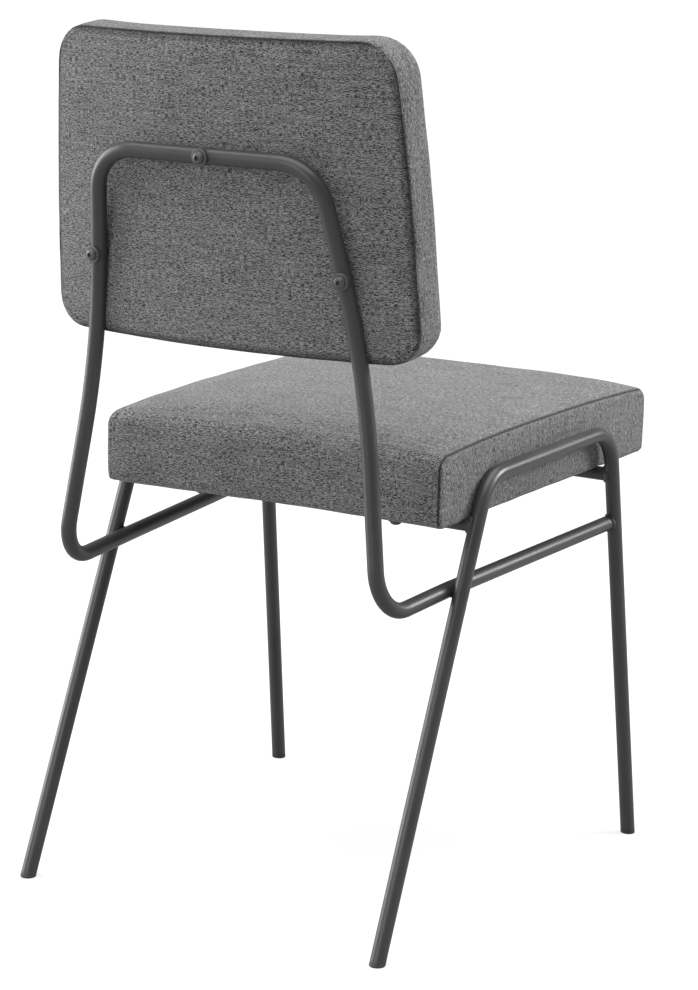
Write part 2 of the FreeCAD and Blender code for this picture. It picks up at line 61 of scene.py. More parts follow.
# %% Make the camera
CAMERA_AT = Vector((-1.3115, 2.24535, 0.88825))
CAMERA_RIGHT = Vector((-0.859709, -0.508980, 0.042885))
CAMERA_UP = Vector((0.135455, -0.146230, 0.979933))
LENS_MM = 97.42

camera_data = bpy.data.cameras.new("camera")
camera_data.lens = LENS_MM
camera_data.sensor_width = 36.0
camera_data.clip_start = 0.05
camera_data.clip_end = 900.0
camera = bpy.data.objects.new("camera", camera_data)
bpy.context.scene.collection.objects.link(camera)
camera_back = CAMERA_RIGHT.cross(CAMERA_UP)
camera.matrix_world = Matrix((
    (CAMERA_RIGHT.x, CAMERA_UP.x, camera_back.x, CAMERA_AT.x),
    (CAMERA_RIGHT.y, CAMERA_UP.y, camera_back.y, CAMERA_AT.y),
    (CAMERA_RIGHT.z, CAMERA_UP.z, camera_back.z, CAMERA_AT.z),
    (0.0, 0.0, 0.0, 1.0)))
bpy.context.scene.camera = camera
print("camera at", [round(c, 3) for c in CAMERA_AT], "lens", LENS_MM, "mm")

# %% [markdown]
# ## A small helper for materials
# A material is a tree of nodes. Building one takes the same few moves each time:
# add a node, set its values, and link its inputs. This helper does those moves in one
# line, so that the recipes below read like recipes.

# %% Material helper
class Recipe:
    """A material's node tree, with short calls to add and link nodes."""

    def __init__(self, name):
        self.material = bpy.data.materials.new(name)
        self.material.use_nodes = True
        self.tree = self.material.node_tree
        self.surface = self.tree.nodes["Principled BSDF"]

    def add(self, kind, inputs=None, **settings):
        """Adds a node; inputs maps a socket name or number to a value or to another socket."""
        made = self.tree.nodes.new(kind)
        for key, value in settings.items():
            setattr(made, key, value)
        for key, value in (inputs or {}).items():
            self.feed(made, key, value)
        return made

    def feed(self, made, key, value):
        if isinstance(value, bpy.types.NodeSocket):
            self.tree.links.new(value, made.inputs[key])
        else:
            made.inputs[key].default_value = value

    def finish(self, **inputs):
        """Feeds the surface shader: underscores stand for the spaces in socket names."""
        for key, value in inputs.items():
            self.feed(self.surface, key.replace("_", " "), value)
        return self.material

    def place(self, scale):
        """Object coordinates, stretched by a scale along each axis."""
        where = self.add("ShaderNodeTexCoord")
        return self.add("ShaderNodeMapping", {0: where.outputs["Object"], "Scale": scale}).outputs[0]

    def noise(self, where, scale, detail=2.0, roughness=0.5):
        made = self.add("ShaderNodeTexNoise", {"Vector": where, "Scale": scale, "Detail": detail,
                                               "Roughness": roughness})
        return made.outputs["Fac"]

    def remap(self, value, low, high, to_low, to_high):
        made = self.add("ShaderNodeMapRange", {"Value": value, "From Min": low, "From Max": high,
                                               "To Min": to_low, "To Max": to_high})
        return made.outputs["Result"]

    def maths(self, operation, a, b=0.0):
        return self.add("ShaderNodeMath", {0: a, 1: b}, operation=operation).outputs[0]

    def blend(self, factor, a, b):
        """Mixes two colours."""
        made = self.add("ShaderNodeMix", data_type="RGBA")
        self.feed(made, 0, factor)
        self.feed(made, 6, a)
        self.feed(made, 7, b)
        return made.outputs[2]

    def bump(self, height, strength, distance, under=None):
        made = self.add("ShaderNodeBump", {"Height": height, "Strength": strength, "Distance": distance})
        if under is not None:
            self.feed(made, "Normal", under)
        return made.outputs["Normal"]


def grey(level, warm=0.0):
    """A linear grey, a touch warm or cool."""
    return (level * (1 + warm), level, level * (1 - warm), 1.0)

# %% [markdown]
# ## Powder coat
# The tubes are sprayed with dry powder and baked. The coat is satin, with a very fine
# orange peel, and it gathers a little dust. Noise in the object's own coordinates gives
# the peel as bump, and a slower noise shifts the colour and the gloss slightly.

# %% Powder-coated tube
def powder_coat(name, level, roughness, ripple=0.0):
    coat = Recipe(name)
    where = coat.place((1.0, 1.0, 1.0))
    peel = coat.noise(where, 900.0, 2.0)
    fine = coat.noise(where, 2600.0, 1.0)
    clouds = coat.noise(where, 14.0, 4.0, 0.6)
    colour = coat.blend(coat.remap(clouds, 0.3, 0.7, 0.0, 1.0), grey(level * 0.92, -0.012),
                        grey(level * 1.10, -0.012))
    specks = coat.remap(fine, 0.62, 0.72, 0.0, 0.25)
    colour = coat.blend(specks, colour, grey(level * 1.9, -0.01))
    gloss = coat.remap(clouds, 0.3, 0.7, roughness - 0.05, roughness + 0.07)
    normal = coat.bump(peel, 0.16, 0.0004)
    if ripple > 0.0:
        normal = coat.bump(coat.noise(where, 420.0, 1.0), ripple, 0.0012, normal)
    return coat.finish(Base_Color=colour, Roughness=gloss, Normal=normal, Specular_IOR_Level=0.5)


frame_coat = powder_coat("powder coat on tube", 0.036, 0.36)
weld_coat = powder_coat("powder coat over weld", 0.040, 0.40, ripple=0.55)
print("powder coats made")

# %% [markdown]
# ## Screws, plastic feet and hidden hardware
# The button head screws are blackened steel, a little lighter and glossier than the
# coat. The feet are moulded in matt plastic with a fine spark texture. The tee nuts are
# zinc plated, which shows as faint cloudy patches.

# %% Screws and plastic
def brushed_steel(name, level, roughness, metallic):
    steel = Recipe(name)
    where = steel.place((1.0, 1.0, 1.0))
    clouds = steel.noise(where, 260.0, 3.0, 0.6)
    marks = steel.noise(steel.place((1.0, 9.0, 1.0)), 900.0, 2.0, 0.7)
    colour = steel.blend(steel.remap(clouds, 0.35, 0.65, 0.0, 1.0), grey(level * 0.88, -0.015),
                         grey(level * 1.12, -0.01))
    gloss = steel.remap(marks, 0.3, 0.7, roughness - 0.07, roughness + 0.08)
    return steel.finish(Base_Color=colour, Roughness=gloss, Metallic=metallic,
                        Normal=steel.bump(marks, 0.10, 0.0002))


def moulded_plastic(name, level, roughness):
    plastic = Recipe(name)
    where = plastic.place((1.0, 1.0, 1.0))
    spark = plastic.noise(where, 3200.0, 2.0, 0.6)
    clouds = plastic.noise(where, 60.0, 3.0)
    scratches = plastic.noise(plastic.place((1.0, 1.0, 6.0)), 240.0, 3.0)
    scuffs = plastic.remap(scratches, 0.60, 0.74, 0.0, 0.35)
    colour = plastic.blend(plastic.remap(clouds, 0.3, 0.7, 0.0, 1.0), grey(level * 0.9),
                           grey(level * 1.12))
    colour = plastic.blend(scuffs, colour, grey(level * 2.2))
    gloss = plastic.remap(clouds, 0.3, 0.7, roughness, roughness + 0.1)
    return plastic.finish(Base_Color=colour, Roughness=gloss, Normal=plastic.bump(spark, 0.22, 0.0003))


screw_steel = brushed_steel("blackened screw steel", 0.085, 0.44, 0.45)
zinc_steel = brushed_steel("zinc plated steel", 0.55, 0.36, 1.0)
foot_plastic = moulded_plastic("matt foot plastic", 0.030, 0.55)
spacer_plastic = moulded_plastic("spacer plastic", 0.016, 0.6)
print("hardware finishes made")

# %% [markdown]
# ## Plywood, foam, wadding and dust cloth
# These sit inside the cushions or under the seat, but they still get their real look:
# birch plies in thin layers, open-celled foam, loose fibres, and a thin non-woven cloth.

# %% Hidden upholstery materials
def birch_ply(name):
    ply = Recipe(name)
    rings = ply.noise(ply.place((3.0, 40.0, 120.0)), 6.0, 5.0, 0.6)
    layers = ply.add("ShaderNodeTexWave", {"Vector": ply.place((1.0, 1.0, 1.0)), "Scale": 110.0,
                                           "Distortion": 0.6, "Detail": 2.0}, bands_direction="Z")
    grain = ply.blend(ply.remap(rings, 0.3, 0.7, 0.0, 1.0), (0.62, 0.44, 0.26, 1), (0.44, 0.28, 0.15, 1))
    colour = ply.blend(ply.remap(layers.outputs["Fac"], 0.55, 0.75, 0.0, 0.4), grain, (0.30, 0.18, 0.09, 1))
    return ply.finish(Base_Color=colour, Roughness=0.62, Normal=ply.bump(rings, 0.25, 0.0006))


def open_foam(name, colour_low, colour_high, cell):
    foam = Recipe(name)
    where = foam.place((1.0, 1.0, 1.0))
    cells = foam.add("ShaderNodeTexVoronoi", {"Vector": where, "Scale": cell}).outputs["Distance"]
    tone = foam.blend(foam.remap(foam.noise(where, 40.0, 3.0), 0.3, 0.7, 0.0, 1.0), colour_low, colour_high)
    return foam.finish(Base_Color=tone, Roughness=0.95, Normal=foam.bump(cells, 0.6, 0.0008))


def spun_cloth(name, level):
    cloth = Recipe(name)
    where = cloth.place((1.0, 1.0, 1.0))
    fibres = cloth.noise(cloth.place((1.0, 5.0, 1.0)), 700.0, 4.0, 0.75)
    dots = cloth.add("ShaderNodeTexVoronoi", {"Vector": where, "Scale": 620.0}).outputs["Distance"]
    dimples = cloth.remap(dots, 0.15, 0.4, 0.0, 1.0)
    colour = cloth.blend(cloth.remap(fibres, 0.35, 0.65, 0.0, 1.0), grey(level * 0.7), grey(level * 1.5))
    return cloth.finish(Base_Color=colour, Roughness=0.9, Sheen_Weight=0.2,
                        Normal=cloth.bump(dimples, 0.35, 0.0003, cloth.bump(fibres, 0.3, 0.0003)))


ply_finish = birch_ply("birch plywood")
foam_finish = open_foam("cushion foam", (0.62, 0.56, 0.40, 1), (0.74, 0.70, 0.56, 1), 900.0)
wadding_finish = open_foam("polyester wadding", (0.72, 0.73, 0.74, 1), (0.86, 0.87, 0.88, 1), 420.0)
dust_finish = spun_cloth("black dust cloth", 0.012)
print("hidden materials made")

# %% [markdown]
# ## The heathered cover cloth
# The cushions wear a flat-woven upholstery cloth. Its yarns are spun from dark and pale
# fibres together, so each one changes tone every few millimetres, and the eye sees short
# dashes along the weft. A picture of the cloth could be wrapped round the cushion, but
# noise stretched along the weft gives dashes that never repeat. The pattern reads each
# cushion's own UV map, laid out in metres along the cut panels, so the dashes follow the
# cloth round the edges. An attribute on the mesh paints shade into the sewn lines: it
# darkens the cloth where shade falls in the sunk seams and the pressed ridge lines.

# %% Woven cover cloth
YARN_M = 0.00105
# How dark the painted shade in the sunk seam lines gets.
SEAM_SHADE = 0.85


def heather_cloth(name, dark, pale):
    """Woven cloth: stretched noise mixes the dark and the pale fibre, and two sines weave it."""
    cloth = Recipe(name)
    uv = cloth.add("ShaderNodeUVMap", uv_map="panels").outputs[0]
    split = cloth.add("ShaderNodeSeparateXYZ", {0: uv})
    along, across = split.outputs[0], split.outputs[1]

    def yarns(scale, detail, roughness):
        stretched = cloth.add("ShaderNodeMapping", {0: uv, "Scale": scale}).outputs[0]
        return cloth.noise(stretched, 1.0, detail, roughness)

    dashes = yarns((230.0, 1700.0, 1.0), 1.0, 0.5)
    flecks = yarns((620.0, 2000.0, 1.0), 1.0, 0.5)
    streaks = yarns((34.0, 380.0, 1.0), 2.0, 0.5)
    clouds = yarns((16.0, 40.0, 1.0), 3.0, 0.55)
    weft = cloth.maths("SINE", cloth.maths("MULTIPLY", across, math.tau / YARN_M))
    warp = cloth.maths("SINE", cloth.maths("MULTIPLY", along, math.tau / (YARN_M * 1.25)))
    weave = cloth.maths("MULTIPLY", weft, warp)
    tone = cloth.maths("MULTIPLY", cloth.maths("ADD", dashes, flecks), 0.5)
    for part, share in ((streaks, 0.14), (clouds, 0.05)):
        shift = cloth.maths("MULTIPLY", cloth.maths("SUBTRACT", part, 0.5), share)
        tone = cloth.maths("ADD", tone, shift)
    colour = cloth.blend(cloth.remap(tone, 0.452, 0.560, 0.0, 1.0), dark, pale)
    # Painted shade: the attribute marks the sunk seam and ridge lines, and the colour is darkened there to
    # stand for the shade in their grooves.
    sunk = cloth.add("ShaderNodeAttribute", attribute_name="painted_seam_shade").outputs["Fac"]
    groove_shade = cloth.maths("POWER", sunk, 2.2)
    colour = cloth.blend(cloth.maths("MULTIPLY", groove_shade, SEAM_SHADE), colour, grey(0.010))
    height = cloth.maths("ADD", cloth.maths("MULTIPLY", weave, 0.30), tone)
    normal = cloth.bump(height, 0.55, 0.0007)
    return cloth.finish(Base_Color=colour, Roughness=0.92, Normal=normal, Specular_IOR_Level=0.25,
                        Sheen_Weight=0.10, Sheen_Roughness=0.5)


DARK_FIBRE = (0.012, 0.012, 0.0122, 1.0)
PALE_FIBRE = (0.285, 0.285, 0.288, 1.0)
cover_finish = heather_cloth("heathered grey cloth", DARK_FIBRE, PALE_FIBRE)
print("cover cloth made")

# %% [markdown]
# ## Dress the frame
# Each CAD piece keeps its shape and only gets a finish, by putting the material in the
# slot of its mesh. A table from finish to pieces keeps the choice in one place. The foam
# and wadding are dressed too, although the cushions made further down stand for them.

# %% Finishes on the CAD pieces
TUBES = ("left_side_frame", "right_side_frame", "back_frame", "rear_cross_tube", "front_cross_tube")
FOOT_CAPS = tuple(side + end + "_foot_cap" for side in ("left_", "right_") for end in ("rear", "front"))
FINISHES = {
    frame_coat: TUBES,
    weld_coat: ("rail_welds", "cross_tube_welds"),
    screw_steel: ("backrest_bolts", "backrest_bolt_washers", "seat_bolts", "seat_bolt_washers"),
    zinc_steel: ("backrest_tee_nuts", "seat_tee_nuts"),
    foot_plastic: FOOT_CAPS,
    spacer_plastic: ("backrest_spacers",),
    ply_finish: ("backrest_board", "seat_board"),
    foam_finish: ("backrest_foam", "seat_foam"),
    wadding_finish: ("backrest_wadding",),
}
for finish, names in FINISHES.items():
    for name in names:
        mesh = nodes[name].data
        mesh.materials.clear()
        mesh.materials.append(finish)
print("dressed", sum(len(names) for names in FINISHES.values()), "CAD pieces")

# %% [markdown]
# ## Tools for sewing cushions
# A boxed cushion is cut from flat panels and sewn at their edges. It is modelled the
# same way: a box whose edges are the seams, cut into an even grid, blown up a little as
# cloth with its seams held still, and then each seam is rounded and drawn in.
# These helpers do the steps that both cushions share.

# %% Even grid over a box
GRID_M = 0.008


def cut_grid(bm, axis, low, high, step=GRID_M):
    """Cuts every face that crosses evenly spaced planes between two coordinates."""
    count = max(1, round((high - low) / step))
    direction = Vector((0.0, 0.0, 0.0))
    direction[axis] = 1.0
    for number in range(1, count):
        at = low + (high - low) * number / count
        everything = bm.verts[:] + bm.edges[:] + bm.faces[:]
        bmesh.ops.bisect_plane(bm, geom=everything, dist=1e-5, plane_co=direction * at, plane_no=direction)
    return len(bm.faces)


def edges_where(bm, test):
    return [edge for edge in bm.edges if test(edge.verts[0].co, edge.verts[1].co)]


def lay_out_cloth(bm, choose):
    """Writes the panels UV map in metres: choose(normal) gives the weft axis, warp axis and shift."""
    layer = bm.loops.layers.uv.new("panels")
    for face in bm.faces:
        weft, warp, shift = choose(face.normal)
        for loop in face.loops:
            loop[layer].uv = (loop.vert.co[weft] + shift, loop.vert.co[warp] + shift * 0.37)


# %% Blow up a cushion as cloth
def seam_points(piece):
    """The vertices on the piece's marked seams, each with the weight that holds it still."""
    return {index: 1.0 for edge in piece.data.edges if edge.use_seam for index in edge.vertices}


def inflate(piece, held, pressure, cap, frames=20):
    """Cloth with pressure inside and its held vertices still; no point moves further than cap."""
    rest = [v.co.copy() for v in piece.data.vertices]
    outward = [v.normal.copy() for v in piece.data.vertices]
    group = piece.vertex_groups.new(name="held")
    for index, weight in held.items():
        group.add([index], weight, "REPLACE")
    cloth = piece.modifiers.new("cloth", "CLOTH")
    settings = cloth.settings
    settings.quality = 6
    settings.mass = 0.25
    settings.tension_stiffness = settings.compression_stiffness = 12.0
    settings.shear_stiffness = 8.0
    settings.bending_stiffness = 1.5
    settings.use_pressure = True
    settings.uniform_pressure_force = pressure
    settings.vertex_group_mass = "held"
    settings.effector_weights.gravity = 0.0
    cloth.collision_settings.use_collision = False
    cloth.point_cache.frame_start = 1
    cloth.point_cache.frame_end = frames
    for number in range(1, frames + 1):
        bpy.context.scene.frame_set(number)
    evaluated = piece.evaluated_get(bpy.context.evaluated_depsgraph_get())
    blown = [v.co.copy() for v in evaluated.data.vertices]
    piece.modifiers.remove(cloth)
    piece.vertex_groups.remove(group)
    bpy.context.scene.frame_set(1)
    furthest = 0.0
    for vertex, start, end, out in zip(piece.data.vertices, rest, blown, outward):
        move = end - start
        sunk = min(0.0, move.dot(out))
        move -= out * sunk
        length = move.length
        furthest = max(furthest, length)
        if length > 0.0:
            vertex.co = start + move * (cap * math.tanh(length / cap) / length)
    piece.data.update()
    print(piece.name, "swelled by up to", round(furthest * 1000, 1), "mm before the cap of",
          cap * 1000, "mm")


# %% Sew the seams
# How dark the painted shade in the pressed ridge lines gets.
RIDGE_SHADE = 0.62
CREASE = 0.7


def sew(bm, edges, width, depth, shade, segments=4):
    """Rounds these edges, draws the middle of the round in and marks it with painted shade; returns how
    many points it moved.
    """
    line = KDTree(len(edges) * 3)
    for number, edge in enumerate(edges):
        a, b = edge.verts[0].co, edge.verts[1].co
        for part, share in enumerate((0.0, 0.5, 1.0)):
            line.insert(a.lerp(b, share), number * 3 + part)
    line.balance()
    done = bmesh.ops.bevel(bm, geom=edges, offset=width, offset_type="OFFSET", segments=segments,
                           profile=0.5, affect="EDGES", material=-1, clamp_overlap=True)
    bm.normal_update()
    spread = [(line.find(v.co)[2], v) for v in done["verts"]]
    nearest = min(distance for distance, v in spread)
    reach = nearest + (width - nearest) * 0.35
    middle = [v for distance, v in spread if distance < max(reach, width * 0.45)]
    moves = [(v, v.normal.copy()) for v in middle]
    sunk = bm.verts.layers.float["painted_seam_shade"]
    crease = bm.edges.layers.float["crease_edge"]
    # The drawn-in middle is marked for painted shade, which darkens the cloth's colour there.
    for vertex, normal in moves:
        vertex.co -= normal * depth
        vertex[sunk] = shade
    chosen = set(middle)
    for edge in {e for v in middle for e in v.link_edges}:
        if edge.verts[0] in chosen and edge.verts[1] in chosen:
            edge[crease] = CREASE
    return len(middle)


def sew_piece(piece, width, depth, ridge_width=0.0009, ridge_depth=0.0005):
    """Draws in the marked seams, and presses a line where the seam allowance ends under the cloth; both get
    painted shade.
    """
    bm = bmesh.new()
    bm.from_mesh(piece.data)
    bm.verts.layers.float.new("painted_seam_shade")
    bm.edges.layers.float.new("crease_edge")
    lines = [e for e in bm.edges if not e.smooth]
    sew(bm, lines, ridge_width, ridge_depth, RIDGE_SHADE, segments=2)
    for edge in bm.edges:
        edge.smooth = True
    edges = [e for e in bm.edges if e.seam]
    count = sew(bm, edges, width, depth, 1.0)
    for edge in bm.edges:
        edge.seam = False
    bmesh.ops.recalc_face_normals(bm, faces=bm.faces)
    bm.to_mesh(piece.data)
    bm.free()
    for polygon in piece.data.polygons:
        polygon.use_smooth = True
    print(piece.name, "sewn through", count, "points")


# %% Keep clear of the metal
SEARCH_REACH = 0.02


def tree_of(names):
    """One search tree over several CAD pieces."""
    points, faces = [], []
    for name in names:
        mesh = nodes[name].data
        start = len(points)
        points += [v.co.copy() for v in mesh.vertices]
        faces += [[start + i for i in polygon.vertices] for polygon in mesh.polygons]
    return BVHTree.FromPolygons(points, faces)


def keep_clear(mesh, tree, gap):
    """Moves any vertex that is inside the metal, or closer than the gap, out to the gap."""
    moved = 0
    for vertex in mesh.vertices:
        spot, normal, _, distance = tree.find_nearest(vertex.co, SEARCH_REACH)
        if spot is None:
            continue
        side = (vertex.co - spot).dot(normal)
        if side < 0 or distance < gap:
            vertex.co = spot + normal * gap
            moved += 1
    mesh.update()
    return moved


# %% Make a piece, refine it, ruffle it
def new_piece(name, bm, material):
    """A named object at the origin from a bmesh, smooth, with its material and slot."""
    mesh = bpy.data.meshes.new(name)
    bm.to_mesh(mesh)
    bm.free()
    mesh.materials.append(material)
    piece = bpy.data.objects.new(name, mesh)
    bpy.context.scene.collection.objects.link(piece)
    for polygon in mesh.polygons:
        polygon.use_smooth = True
    return piece


def subdivide_once(piece, levels=1):
    """Applies a subdivision surface to the piece's own mesh."""
    modifier = piece.modifiers.new("smooth", "SUBSURF")
    modifier.levels = modifier.render_levels = levels
    evaluated = piece.evaluated_get(bpy.context.evaluated_depsgraph_get())
    finer = bpy.data.meshes.new_from_object(evaluated)
    piece.modifiers.remove(modifier)
    old = piece.data
    piece.data = finer
    bpy.data.meshes.remove(old)
    finer.name = piece.name


def pucker(mesh, size, amount, offset):
    """Small uneven undulations, as in cloth pulled over foam."""
    for vertex in mesh.vertices:
        here = noise.noise(vertex.co * size + offset)
        vertex.co += vertex.normal * (here * amount)
    mesh.update()

# %% [markdown]
# ## The seat cushion
# One wide panel runs up the front, over the top and down the rear. Two side panels close
# it, so the seams run along the side panels' outlines. The box's profile is rounded at
# the front and rear, where the cloth simply rolls over the foam, and the seams stay crisp.
# A used cushion is never a true box, so the flat box is then eased out of shape: its seams
# dip at their ends, its rim hangs a little below the board, and one side has settled.

# %% Seat cushion: the box and its grid
SEAT_PLACE = Matrix.Translation((0.0, 0.0, 0.3936)) @ Matrix.Rotation(math.radians(-2.25), 4, "X")
SEAT_THICK = 0.071
SEAT_REAR = 0.1415
SEAT_FRONT = -0.284
SEAT_REAR_HALF = 0.1855
SEAT_FRONT_HALF = 0.194
SEAM_ALLOWANCE = 0.0068
SEAT_END_ROLL, SEAT_LOW_ROLL = 0.013, 0.010
RIDGE_AT = SEAT_REAR_HALF - SEAM_ALLOWANCE

bm = bmesh.new()
bmesh.ops.create_cube(bm, size=1.0)
bmesh.ops.scale(bm, vec=(2 * SEAT_REAR_HALF, SEAT_REAR - SEAT_FRONT, SEAT_THICK), verts=bm.verts)
bmesh.ops.translate(bm, vec=(0.0, (SEAT_REAR + SEAT_FRONT) / 2, SEAT_THICK / 2), verts=bm.verts)
across = edges_where(bm, lambda a, b: abs(a.x - b.x) > 0.1)
for radius, high, pieces in ((SEAT_END_ROLL, True, 5), (SEAT_LOW_ROLL, False, 3)):
    chosen = [e for e in across if e.is_valid and (e.verts[0].co.z > SEAT_THICK / 2) == high]
    bmesh.ops.bevel(bm, geom=chosen, offset=radius, offset_type="OFFSET", segments=pieces,
                    profile=0.5, affect="EDGES", material=-1)
for place in (-RIDGE_AT, RIDGE_AT):
    everything = bm.verts[:] + bm.edges[:] + bm.faces[:]
    bmesh.ops.bisect_plane(bm, geom=everything, dist=1e-5, plane_co=(place, 0, 0), plane_no=(1, 0, 0))
cut_grid(bm, 1, SEAT_FRONT, SEAT_REAR)
cut_grid(bm, 2, 0.0, SEAT_THICK)
cut_grid(bm, 0, -SEAT_REAR_HALF, SEAT_REAR_HALF)
bm.normal_update()


def seat_weave(normal):
    """The weft runs across the seat, but up the side panels, which are cut from another place."""
    if abs(normal.x) > 0.7:
        return 2, 1, 0.31
    return (0, 2, 0.0) if abs(normal.y) > abs(normal.z) else (0, 1, 0.0)


lay_out_cloth(bm, seat_weave)
print("seat grid:", len(bm.faces), "faces")

# %% Seat cushion: mark the seams
def faces_sideways(face):
    return abs(face.normal.x) > 0.9


seams = [e for e in bm.edges if len(e.link_faces) == 2
         and faces_sideways(e.link_faces[0]) != faces_sideways(e.link_faces[1])
         and not any(f.normal.z < -0.7 for f in e.link_faces)]
ridges = [e for e in bm.edges if all(abs(abs(v.co.x) - RIDGE_AT) < 1e-5 for v in e.verts)
          and all(abs(f.normal.y) > 0.8 for f in e.link_faces)]
for edge in seams:
    edge.seam = True
for edge in ridges:
    edge.smooth = False
print("seat seams:", len(seams), "edges, ridges:", len(ridges), "edges")

# %% Seat cushion: ways in which it differs from a box
SEAT_MIDDLE_ROLL, ROLL_SPREAD = 0.024, 0.085
SEAT_BULGE, BULGE_REACH = 0.003, 0.03
SEAM_DIP_REAR, SEAM_DIP_FRONT = 0.0068, 0.0046
DIP_REAR_FROM, DIP_FRONT_FROM = -0.060, -0.109
RIM_SAG, RIM_SAG_REAR, RIM_WIDTH = 0.0018, 0.0022, 0.034
SAG_FROM, SAG_RUN = 0.03, 0.08
SETTLE, SETTLE_FROM, SETTLE_RUN = 0.0034, -0.05, 0.23
FRONT_LEAN, LEAN_REACH = 0.0028, 0.05
SEAT_LENGTH = SEAT_REAR - SEAT_FRONT
SEAT_ENDS = ((SEAT_REAR, 1), (SEAT_FRONT, -1))


def ease(share):
    """Smooth step from 0 to 1."""
    share = min(1.0, max(0.0, share))
    return share * share * (3 - 2 * share)


def roll_ends(co):
    """The top rolls over the front and rear edges, more widely in the middle than at the seams."""
    inward = min(1.0, (SEAT_REAR_HALF - abs(co.x)) / ROLL_SPREAD)
    roll = SEAT_END_ROLL + (SEAT_MIDDLE_ROLL - SEAT_END_ROLL) * math.sin(inward * math.pi / 2)
    for end, sign in SEAT_ENDS:
        centre = Vector((co.x, end - sign * roll, SEAT_THICK - roll))
        arm = co - centre
        if arm.y * sign > 0 and arm.z > 0 and arm.length > roll:
            co = centre + arm * (roll / arm.length)
    return co


def bulge_ends(co):
    """The front and rear faces swell in their middle."""
    span = 1 - (co.x / SEAT_REAR_HALF) ** 2
    rise = math.sin(math.pi * min(1.0, max(0.0, co.z / SEAT_THICK)))
    for end, sign in SEAT_ENDS:
        near = max(0.0, 1 - abs(co.y - end) / BULGE_REACH)
        co.y += sign * SEAT_BULGE * span * rise * near


def seam_dip(y):
    """How far the side seams fall below the flat top at a place along the seat."""
    rear = max(0.0, (y - DIP_REAR_FROM) / (SEAT_REAR - DIP_REAR_FROM))
    front = max(0.0, (DIP_FRONT_FROM - y) / (DIP_FRONT_FROM - SEAT_FRONT))
    return SEAM_DIP_REAR * rear ** 2.5 + SEAM_DIP_FRONT * front ** 2


def sag_rim(co, lift):
    """How far the outer rim hangs below the board, most at the rear."""
    inside = min(SEAT_REAR_HALF - abs(co.x), SEAT_REAR - co.y, co.y - SEAT_FRONT)
    rim = ease(1 - inside / RIM_WIDTH) * ease(1 - lift * 2.0)
    return rim * (RIM_SAG + RIM_SAG_REAR * ease((co.y - SAG_FROM) / SAG_RUN))


def settle(co):
    """How far one side has sunk with use, most at the rear."""
    rear_share = ease((co.y - SEAT_FRONT) / SEAT_LENGTH)
    return SETTLE * ease((co.x - SETTLE_FROM) / SETTLE_RUN) * (0.55 + 0.45 * rear_share)


def seat_half(y):
    """Half width along the seat: narrower at the rear."""
    return SEAT_REAR_HALF + (SEAT_FRONT_HALF - SEAT_REAR_HALF) * (SEAT_REAR - y) / SEAT_LENGTH


print("seam dip at the rear corner:", round(seam_dip(SEAT_REAR) * 1000, 1), "mm")

# %% Seat cushion: ease the box out of shape and put it in place
for vertex in bm.verts:
    vertex.co = roll_ends(vertex.co)
    bulge_ends(vertex.co)
    lift = vertex.co.z / SEAT_THICK
    sideways = min(1.0, abs(vertex.co.x) / SEAT_REAR_HALF)
    vertex.co.z -= seam_dip(vertex.co.y) * sideways ** 5 * max(0.0, lift)
    vertex.co.z -= sag_rim(vertex.co, lift)
    vertex.co.z -= settle(vertex.co)
    vertex.co.y -= FRONT_LEAN * (1 - lift) * ease((SEAT_FRONT + LEAN_REACH - vertex.co.y) / LEAN_REACH)
    vertex.co.x *= seat_half(vertex.co.y) / SEAT_REAR_HALF
bmesh.ops.transform(bm, matrix=SEAT_PLACE, verts=bm.verts)
bm.normal_update()
seat = new_piece("seat_cushion", bm, cover_finish)
print("seat box eased:", len(seat.data.vertices), "points")

# %% Seat cushion: blow it up, then sew
UNDERSIDE = 0.0015
seat_inverse = SEAT_PLACE.inverted()
held = seam_points(seat)
for vertex in seat.data.vertices:
    if vertex.normal.z < -0.7 and (seat_inverse @ vertex.co).z < UNDERSIDE:
        held[vertex.index] = 1.0
metal = tree_of(TUBES)
inflate(seat, held, pressure=30.0, cap=0.0095)
print("clear of the rails:", keep_clear(seat.data, metal, 0.0012), "vertices moved")

sew_piece(seat, 0.0034, 0.0013)
pucker(seat.data, 26.0, 0.0007, Vector((3.1, 0.4, 7.7)))
subdivide_once(seat)
keep_clear(seat.data, metal, 0.0008)
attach(seat, "root")
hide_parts("seat_cover", "seat_foam")
print("seat cushion:", len(seat.data.polygons), "faces")

# %% [markdown]
# ## The backrest cushion
# It is a shallow boxed pad: a back panel, a front panel and a boxing strip between them.
# It is wider at the bottom, its corners are generous, and it is bowed round the sitter's
# back. It is drawn flat first, because a flat panel is easy to cut into a grid, and the
# bow and the lean are given to it afterwards.

# %% Backrest cushion: the flat box and its grid
PAD_PLACE = Matrix.Translation((0.0, 0.2448, 0.666)) @ Matrix.Rotation(math.radians(-7.46), 4, "X")
PAD_CURVE = 0.900
PAD_THICK = 0.0485
PAD_LOW, PAD_HIGH = -0.1275, 0.1575
PAD_LOW_HALF, PAD_MID_HALF, PAD_HIGH_HALF = 0.196, 0.1895, 0.176
PAD_LOW_CORNER, PAD_HIGH_CORNER = 0.030, 0.034
PAD_FRONT_ROLL = 0.015

